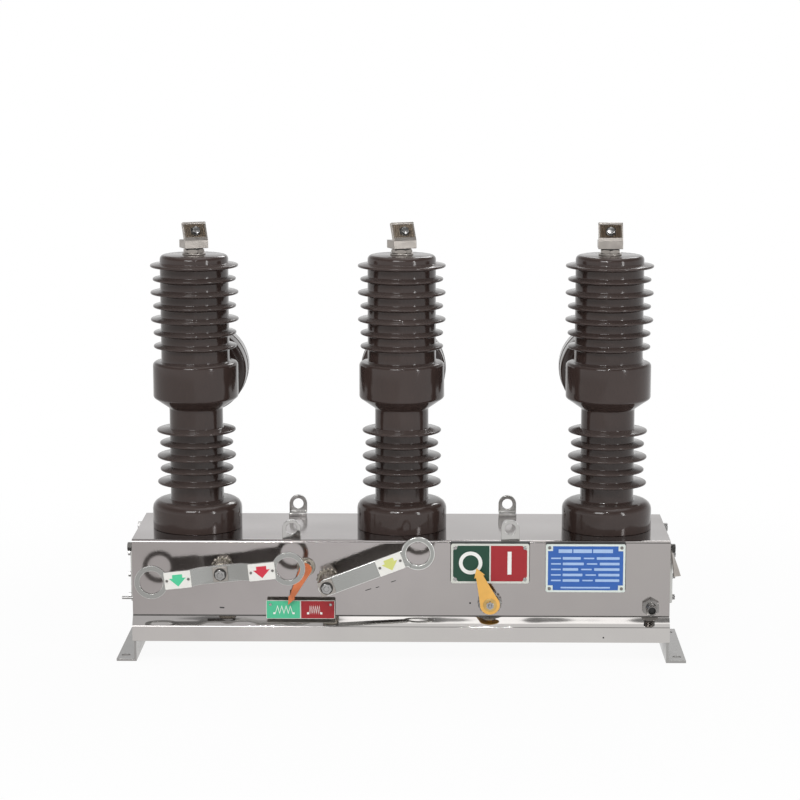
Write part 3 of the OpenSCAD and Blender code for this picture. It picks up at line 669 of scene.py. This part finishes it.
ring_beads = revolved(ring_profile, on_panel(*position_shaft), 176,
                      lambda angle, height: np.abs(np.cos(9 * angle)) * 2.0 - 1.6)
add_piece("pointer_boss_ring", [ring_beads], pipe_steel, smooth=50)
add_piece("shaft_bushings", boss_shapes, turned, stands_for=["shaft_bosses"], smooth=50)

# ---- Lever labels ----
# Small white enamelled plates, riveted to the lever bars beside their rings, with an arrow for the
# way to pull: green to open, red to close and yellow to charge the spring.


def enamel_material(name, colour):
    """Stove enamel: nearly even colour, a light orange-peel skin, and a little dirt in its hollows."""
    material, shader, place = new_material(name)
    dirt = place.noise(60, 4).step(0.5, 0.85)
    feed(shader, "Base Color", (dirt * 0.35).blend((*colour, 1), (*[c * 0.75 for c in colour], 1)))
    feed(shader, "Roughness", place.noise(90, 2) * 0.12 + 0.28)
    shader.inputs["Specular IOR Level"].default_value = 0.3
    bump(shader, place.noise(700, 1), 0.0001, 0.2)
    return material


def bar_shape(x0, z0, x1, z1, cut=0.0):
    """A rectangle in mm, with its corners cut off at 45 degrees where cut is more than 0."""
    if not cut:
        return np.array([(x0, z0), (x1, z0), (x1, z1), (x0, z1)])
    return np.array([(x0 + cut, z0), (x1 - cut, z0), (x1, z0 + cut), (x1, z1 - cut),
                     (x1 - cut, z1), (x0 + cut, z1), (x0, z1 - cut), (x0, z0 + cut)])


white_enamel = enamel_material("white_enamel", (0.76, 0.75, 0.71))
green_enamel = enamel_material("green_enamel", (0.08, 0.55, 0.30))
red_enamel = enamel_material("red_enamel", (0.58, 0.035, 0.06))
lime_enamel = enamel_material("lime_enamel", (0.60, 0.62, 0.20))
rivet_metal = plated_material("rivet_metal", (0.22, 0.21, 0.20), 0.25)
arrow = np.array([(-9, 10), (9, 10), (9, 3.5), (15, 3.5), (0, -11.5), (-15, 3.5), (-9, 3.5)]) * 0.9
bar_face = 58
labels = (("open_label", rocker, -68, green_enamel), ("close_label", rocker, 68, red_enamel),
          ("charge_label", charger, 109, lime_enamel))
for name, hub, along, paint in labels:
    seat = on_panel(hub["x"], hub["z"], bar_face, hub["tilt"]) @ Matrix.Translation((along * MM, 0, 0))
    add_piece(f"{name}_plate", [slab(bar_shape(-21.5, -14, 21.5, 14, 1.0), 0.0, 1.2, seat)],
              white_enamel, hub["body"], bevel=0.3)
    add_piece(f"{name}_arrow", [slab(arrow[::-1], 1.1, 1.5, seat)], paint, hub["body"])
    rivets = [disc(2.2, 0.9, 2.4, seat @ Matrix.Translation((x * MM, 0, 0)), 0.9, 20)
              for x in (-17.5, 17.5)]
    add_piece(f"{name}_rivets", rivets, rivet_metal, hub["body"])

# ---- Position plate and pointer ----
# A two-colour enamelled plate on four spacers over a black gasket: green with a ring for open,
# red with a bar for closed. The gasket's rim and a black strip along the plate's top paint the
# dark line of shade round the plate. Its yellow pointer turns with the breaker's main shaft.


def plate_piece(name, node, outline, low, high, seat, spacers, material):
    """A plate at its distance from the panel, with a spacer under each screw."""
    shapes = [slab(outline, low, high, seat)]
    shapes += [disc(4, -0.4, low + 0.1, seat @ Matrix.Translation((x * MM, z * MM, 0)), 0.3, 24)
               for x, z in spacers]
    add_piece(name, shapes, material, stands_for=[node], bevel=0.35)


def screws(name, seat, places, level, material, radius=3.0):
    """Cheese-head screws: a rounded head with a slot across it."""
    shapes = []
    for x, z in places:
        here = seat @ Matrix.Translation((x * MM, z * MM, 0))
        shapes.append(disc(radius, level - 0.4, level + 1.6, here, 0.8, 24))
        shapes.append(slab(bar_shape(-radius * 0.8, -0.35, radius * 0.8, 0.35), level + 1.35, level + 1.75,
                           here @ Matrix.Rotation(0.6, 4, "Z")))
    add_piece(name, shapes, material)


plate_x, plate_z = 145, 169
plate_seat = on_panel(plate_x, plate_z)
half_w, half_h = 63.5, 33
corner_screws = [(sx * (half_w - 7), sz * (half_h - 7)) for sx in (-1, 1) for sz in (-1, 1)]
border_enamel = enamel_material("border_enamel", (0.62, 0.63, 0.58))
plate_piece("position_back", "position_plate", bar_shape(-half_w, -half_h, half_w, half_h, 2.5), 6, 8,
            plate_seat, corner_screws, border_enamel)


def paint_material(name, colour, worn):
    """Sprayed paint on steel: it thins at its grain, shows a few worn specks and a soft sheen."""
    material, shader, place = new_material(name)
    specks = place.noise(420, 3).step(0.68, 0.74)
    tone = place.noise(35, 3).step(0.3, 0.75)
    base = tone.blend((*colour, 1), (*[c * 0.85 for c in colour], 1))
    feed(shader, "Base Color", (specks * 0.7).blend(base, (*worn, 1)))
    feed(shader, "Roughness", place.noise(80, 2) * 0.15 + 0.32)
    bump(shader, place.noise(500, 2), 0.0002, 0.3)
    return material


# Near-black stock for the gaskets, the drain plug and the panel's small marks; nearly everywhere it is
# used it paints shade.
rubber_and_shade = paint_material("black_gasket_and_shade", (0.03, 0.03, 0.03), (0.05, 0.05, 0.05))
# Painted shadow: a black slab a little wider than the plate, and a black strip along its top, for the dark
# line of shade round the plate.
gasket_w = half_w + 1
add_piece("position_gasket_shade",
          [slab(bar_shape(-gasket_w, -half_h + 1, gasket_w, half_h + 2.4, 2), 0, 5.8, plate_seat),
           slab(bar_shape(-gasket_w, half_h + 0.4, gasket_w, half_h + 2.7, 0.6), 0, 8.3, plate_seat)],
          rubber_and_shade)
deep_green = enamel_material("deep_green_enamel", (0.015, 0.058, 0.036))
deep_red = enamel_material("deep_red_enamel", (0.33, 0.022, 0.028))


def cut_field(x0, x1, height, outer, notch=8.0):
    """A colour field whose two outer corners are cut away round the screws; outer is the side, -1 or 1."""
    points = [(x0, -height), (x1 - notch, -height), (x1, -height + notch), (x1, height - notch),
              (x1 - notch, height), (x0, height)]
    return np.array([(outer * x, z) for x, z in points])


border = 3.5
for name, enamel, outer in (("open_field", deep_green, -1), ("closed_field", deep_red, 1)):
    field = cut_field(1.2, half_w - border, half_h - border, outer)
    add_piece(name, [slab(field, 7.9, 8.3, plate_seat)], enamel)
white_paint = enamel_material("white_marking", (0.80, 0.80, 0.77))
symbol_out, symbol_up = 31.5, 1
ring_seat = plate_seat @ Matrix.Translation((-symbol_out * MM, symbol_up * MM, 0))
ring_mark = np.array([(19, 8.2), (19, 8.65), (13, 8.65), (13, 8.2), (19, 8.2)])
bar_seat = plate_seat @ Matrix.Translation((symbol_out * MM, symbol_up * MM, 0))
add_piece("position_symbols", [revolved(ring_mark, ring_seat, 64),
                               slab(bar_shape(-3.2, -19, 3.2, 19), 8.2, 8.65, bar_seat)],
          white_paint)
screws("position_screws", plate_seat, corner_screws, 8, zinc)
yellow = paint_material("yellow_paint", (0.80, 0.44, 0.095), (0.55, 0.33, 0.12))
rounded_copy("position_pointer_blade", "position_pointer", yellow, 0.5, "position")
pointer_seat = on_panel(*position_shaft, 21)
gold = plated_material("passivated_zinc", (0.62, 0.42, 0.16), 0.3)
add_piece("position_pointer_washer", [disc(11, 0, 1.2, pointer_seat, 0.4)], gold, "position")
pointer_nut = [hexagon(11.6, 5.3, pointer_seat, 0.9), thread(3.6, 5, 8.2, pointer_seat)]
add_piece("position_pointer_nut", pointer_nut, zinc, "position")

# ---- Charge plate and pointer ----
# A long plate, green with a stretched spring for discharged and red with a tight one for charged,
# under an orange pointer that hangs from its own small shaft.
charge_seat = on_panel(-163, 92.2)
long_w, long_h = 56, 15.5
charge_screws = [(-long_w + 7, long_h - 7), (long_w - 7, long_h - 7)]
bright_green = enamel_material("bright_green_enamel", (0.085, 0.50, 0.28))
plate_piece("charge_back", "charge_plate", bar_shape(-long_w, -long_h, long_w, long_h, 1.5), 11, 12.8,
            charge_seat, charge_screws, border_enamel)
for name, enamel, x0, x1 in (("discharged_field", bright_green, -long_w + 1, -1.0),
                             ("charged_field", deep_red, 1.0, long_w - 1)):
    add_piece(name, [slab(bar_shape(x0, -long_h + 1, x1, long_h - 1), 12.7, 13.0, charge_seat)], enamel)


def spring_mark(x0, x1, turns, rise, thick, seat):
    """A zigzag ribbon: a triangle wave between x0 and x1 with a short lead at each end, and the same
    line a little lower."""
    lead = 3.5
    x = np.concatenate([[x0 - lead], np.linspace(x0, x1, 2 * turns + 1), [x1 + lead]])
    z = np.concatenate([[-rise], np.where(np.arange(2 * turns + 1) % 2 == 0, -rise, rise), [-rise]])
    upper = np.column_stack([x, z + thick / 2])
    lower = np.column_stack([x, z - thick / 2])[::-1]
    return slab(np.vstack([upper, lower])[::-1], 12.9, 13.3, seat)


springs = [spring_mark(-41, -13, 4, 6, 3.0, charge_seat), spring_mark(14, 32, 6, 6, 3.6, charge_seat)]
add_piece("charge_symbols", springs, white_paint)
screws("charge_screws", charge_seat, charge_screws, 12.8, zinc, radius=2.4)
orange = paint_material("orange_paint", (0.72, 0.20, 0.07), (0.45, 0.16, 0.08))
rounded_copy("charge_pointer_blade", "charge_pointer", orange, 0.5, "charge_state")

# ---- Rating plate ----
# A blue printed plate in a pale frame over a black gasket, riveted at its corners; the gasket's rim
# and a black strip along the plate's top paint the dark line of shade round it. Its lines are
# left blank: only the pale bars of a form.
rating_seat = on_panel(300, 161)
rating_w, rating_h = 64.5, 40
rating_rivets = [(sx * (rating_w - 6), sz * (rating_h - 6)) for sx in (-1, 1) for sz in (-1, 1)]
pale = enamel_material("pale_frame", (0.66, 0.72, 0.68))
blue = enamel_material("blue_field", (0.036, 0.118, 0.40))
light_blue = enamel_material("pale_blue_print", (0.36, 0.50, 0.74))
plate_piece("rating_back", "rating_plate", bar_shape(-rating_w, -rating_h, rating_w, rating_h, 2), 3, 5,
            rating_seat, rating_rivets, pale)
# Painted shadow: the black slab sticks out past the plate's top and right edge, and the strip lies along
# its top.
under_plate = bar_shape(-rating_w + 1, -rating_h + 2, rating_w + 1, rating_h + 1.9, 2)
shade_strip = bar_shape(-rating_w, rating_h + 0.4, rating_w, rating_h + 3.2, 0.6)
add_piece("rating_gasket_shade", [slab(under_plate, 0, 2.9, rating_seat), slab(shade_strip, 0, 5.3, rating_seat)],
          rubber_and_shade)
corner = 8
w, h = rating_w - border, rating_h - border
notched = np.array([(-w + corner, -h), (w - corner, -h), (w - corner, -h + corner), (w, -h + corner),
                    (w, h - corner), (w - corner, h - corner), (w - corner, h), (-w + corner, h),
                    (-w + corner, h - corner), (-w, h - corner), (-w, -h + corner),
                    (-w + corner, -h + corner)])
add_piece("rating_field", [slab(notched, 4.9, 5.3, rating_seat)], blue)
first_row, row_pitch = 16.5, 9.2
label_half, answer_half = 1.2, 2.1
bars = [(x0, 25.5, x1, 31.5, 0) for x0, x1 in ((-44, -22), (-20, 10), (12, 44))]
bars.append((-40, -33.5, 40, -31, 0))
for row, shift in enumerate((0, 5, -4, 3, -2)):
    z = first_row - row * row_pitch
    for x0, x1, half in ((-56, -40, label_half), (-37, -8 + shift, answer_half),
                         (-3 + shift, 14 + shift, label_half), (18 + shift, 55, answer_half)):
        bars.append((x0, z - half, x1, z + half, 0.5))
add_piece("rating_print", [slab(bar_shape(*bar), 5.2, 5.45, rating_seat) for bar in bars], light_blue)
rivets = [disc(2.6, 4.8, 6.4, rating_seat @ Matrix.Translation((x * MM, z * MM, 0)), 1.0, 24)
          for x, z in rating_rivets]
add_piece("rating_rivets", rivets, rivet_metal)

# ---- Drain nipple ----
# A stainless pipe nipple screwed into the panel's lower corner through a hexagon, threaded outside;
# a black plug deep in its bore paints the shade inside it.
nipple_seat = on_panel(407, 96)
pipe_r, pipe_bore, pipe_end = 9, 6, 29
crests = np.arange(11, 27, 0.9)
pipe_thread = np.column_stack([pipe_r - 0.7 * (np.arange(len(crests)) % 2), crests])
tube = np.vstack([[0, 0], [pipe_r, 0], [pipe_r, 10], pipe_thread, [8.3, 27.5], [7.4, pipe_end],
                  [pipe_bore + 0.2, pipe_end], [pipe_bore, 28.4], [pipe_bore, 4], [0, 4]])
add_piece("drain_pipe", [revolved(tube, nipple_seat, 48), hexagon(26, 9, nipple_seat)], pipe_steel,
          stands_for=["drain_nipple"], smooth=40)
# Painted shade: the black plug stands in for the dark inside of the bore.
add_piece("drain_bore_shade", [disc(pipe_bore + 0.05, 4, 21, nipple_seat)], rubber_and_shade)

# ---- Small marks on the panel ----
# A dark slot and two dark dots, painted shade for a vent slot and two small holes, and three
# short dark marks, which lie on a slant behind the charging lever.
marks = [slab(bar_shape(-4, -1.1, 4, 1.1, 0.8), -0.1, 0.25, on_panel(-292, 92, 0, -4)),
         disc(1.6, -0.1, 0.4, on_panel(113, 101), 0.2, 20),
         disc(1.4, -0.1, 0.4, on_panel(330, 47, 13), 0.2, 20)]
for x, z, half in ((-53, 123, 5), (-38, 127, 3), (-12, 137, 4)):
    marks.append(slab(bar_shape(-half, -0.6, half, 0.6), -0.1, 0.2, on_panel(x, z, 0, 18)))
add_piece("panel_hole_shades_and_marks", marks, rubber_and_shade)

# ---- End covers and end fittings ----
# A shallow cover is screwed over each end's opening; the left end has the manual trip rod, the
# right end the earth strap under its bolt.
cover_steel = steel_material("cover_stainless", (0.60, 0.595, 0.58), 0.26, 0.8, 0.05, "Y")
rounded_copy("left_cover_pan", "left_end_cover", cover_steel, 1.6)
rounded_copy("right_cover_pan", "right_end_cover", cover_steel, 1.6)
rounded_copy("trip_rod_turned", "trip_rod", zinc, 0.5)


def twisted_strap(x, y, high, low, lean, turn, width, thick, sections=24):
    """A flat strip that runs down: it leans outwards in a straight line while its width turns
    evenly from the housing's depth towards its length."""
    t = np.linspace(0, 1, sections)[:, None]
    twist = radians(turn) * t ** 1.5
    centre = np.concatenate([x + lean * t, y + 0 * t, high + (low - high) * t], 1)
    across = np.concatenate([np.sin(twist), np.cos(twist), 0 * t], 1) * width / 2
    out = np.concatenate([np.cos(twist), -np.sin(twist), 0 * t], 1) * thick / 2
    loop = np.stack([centre + across + out, centre - across + out, centre - across - out,
                     centre + across - out], 1)
    last = 4 * (sections - 1)
    caps = [[0, 1, 2, 3], [last + 3, last + 2, last + 1, last]]
    return loop.reshape(-1, 3) * MM, grid_faces(sections, 4, True) + caps


add_piece("earth_strap_twisted", [twisted_strap(439.2, -79, 196, 140, 13, 62, 13, 2)], tinned,
          stands_for=["earth_strap"], bevel=0.4)
cover_out = 9
for side, sign in (("left", -1), ("right", 1)):
    end = Matrix.Translation((sign * tray_half * MM, 0, 0)) @ Matrix.Rotation(sign * pi / 2, 4, "Y")
    end_bolts = []
    for y in (-45, 85):
        for z in (97, 133, 169):
            seat = Matrix.Translation((sign * cover_out * MM, y * MM, z * MM)) @ end
            end_bolts += [disc(5.5, -0.4, 1.0, seat, 0.3, 28), hexagon(8, 4, seat, 0.9)]
    rear_corner = Matrix.Translation((0, 0.060, 0.192)) @ end
    end_bolts += [disc(8, 0, 1.5, rear_corner), hexagon(13, 8, rear_corner, 1.4)]
    add_piece(f"{side}_end_bolts", end_bolts, zinc)
    front_corner = Matrix.Translation((0, -0.079, 0.187)) @ end
    add_piece(f"{side}_front_bolt", [disc(8, 0, 3.4, front_corner), hexagon(13, 7, front_corner, 3.2)],
              blackened)
